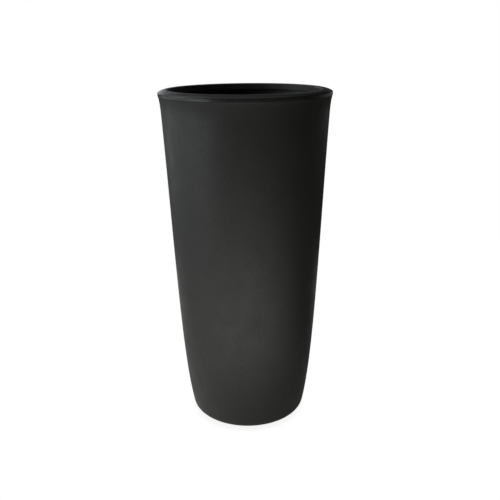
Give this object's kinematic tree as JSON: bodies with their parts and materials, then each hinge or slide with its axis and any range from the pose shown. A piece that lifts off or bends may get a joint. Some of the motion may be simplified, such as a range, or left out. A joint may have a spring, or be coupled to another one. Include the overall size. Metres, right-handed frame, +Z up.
{
  "type": "tall planter",
  "caption": "Tall round planter in dark fiberglass, tapering to a rounded foot, with a rolled rim, a floor drain with plug and loose screen, and rubber foot pads.",
  "frame": {"origin": "on the planter's axis, in the plane that its foot pads stand on", "axes": "+Z up along the planter's axis, from the foot to the rim; +X and +Y level, with the four foot pads on the diagonals between them"},
  "size_m": [0.3486, 0.3486, 0.711],
  "materials": {
    "charcoal_shell": "satin",
    "floor_laminate": "matte",
    "plug_rubber": "matte",
    "pad_rubber": "matte",
    "screen_plastic": "matte"
  },
  "bodies": {
    "planter": {"shell_wall": "charcoal_shell", "rolled_rim": "charcoal_shell", "floor_pan": "floor_laminate", "foot_pad_1": "pad_rubber", "foot_pad_2": "pad_rubber", "foot_pad_3": "pad_rubber", "foot_pad_4": "pad_rubber"},
    "plug": {"drain_plug": "plug_rubber"},
    "screen": {"drain_screen": "screen_plastic"}
  },
  "joints": [
    {"name": "plug_pull", "type": "slide", "parent": "planter", "child": "plug", "axis": [0, 0, -1], "range_m": [0, 0.03]},
    {"name": "screen_lift", "type": "slide", "parent": "planter", "child": "screen", "axis": [0, 0, 1], "range_m": [0, 0.72]}
  ]
}
